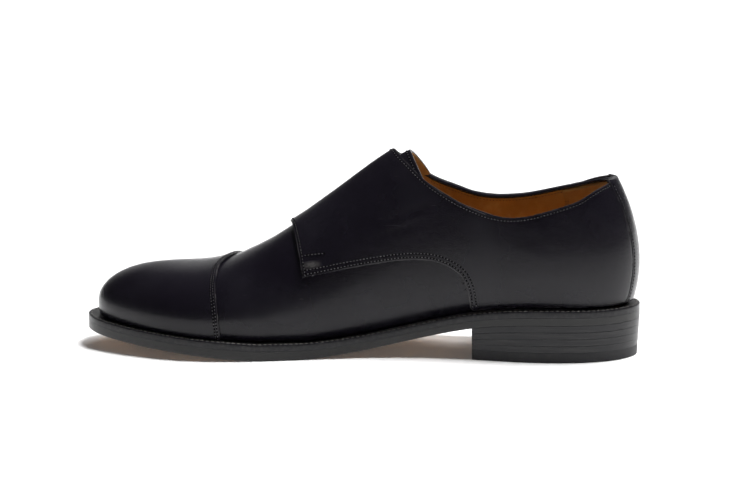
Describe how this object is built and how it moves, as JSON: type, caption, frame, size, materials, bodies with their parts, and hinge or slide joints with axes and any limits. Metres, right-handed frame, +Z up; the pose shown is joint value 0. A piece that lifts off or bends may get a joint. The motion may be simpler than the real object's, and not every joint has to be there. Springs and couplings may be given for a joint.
{
  "type": "monk strap shoe",
  "caption": "Right leather dress shoe with a capped toe, a flap over the instep closed by buckled straps, a welted sole and a stacked heel.",
  "frame": {"origin": "middle of the shoe's outline, on the floor that it stands on", "axes": "+Z up, -X towards the toe and +X towards the heel, -Y the medial side and +Y the lateral side with the buckles"},
  "size_m": [0.303, 0.1052, 0.1109],
  "materials": {
    "outsole": "natural sole leather",
    "welt": "black waxed welt leather with a stitched edge",
    "insole": "tan lining leather",
    "top_lift": "matte black rubber",
    "heel_lift": "stacked leather with a black waxed edge",
    "upper": "smooth polished black calf",
    "buckle": "polished nickel"
  },
  "bodies": {
    "root": {"outsole": "outsole", "welt": "welt", "insole": "insole", "top_lift": "top_lift", "heel_lift_1": "heel_lift", "heel_lift_2": "heel_lift", "heel_lift_3": "heel_lift", "heel_lift_4": "heel_lift", "upper": "upper", "toe_cap": "upper", "medial_quarter": "upper", "lateral_quarter": "upper", "back_strip": "upper", "tongue": "upper", "buckle_1": "buckle", "buckle_prong_1": "buckle", "buckle_tab_1": "upper", "buckle_2": "buckle", "buckle_prong_2": "buckle", "buckle_tab_2": "upper"}
  },
  "joints": []
}
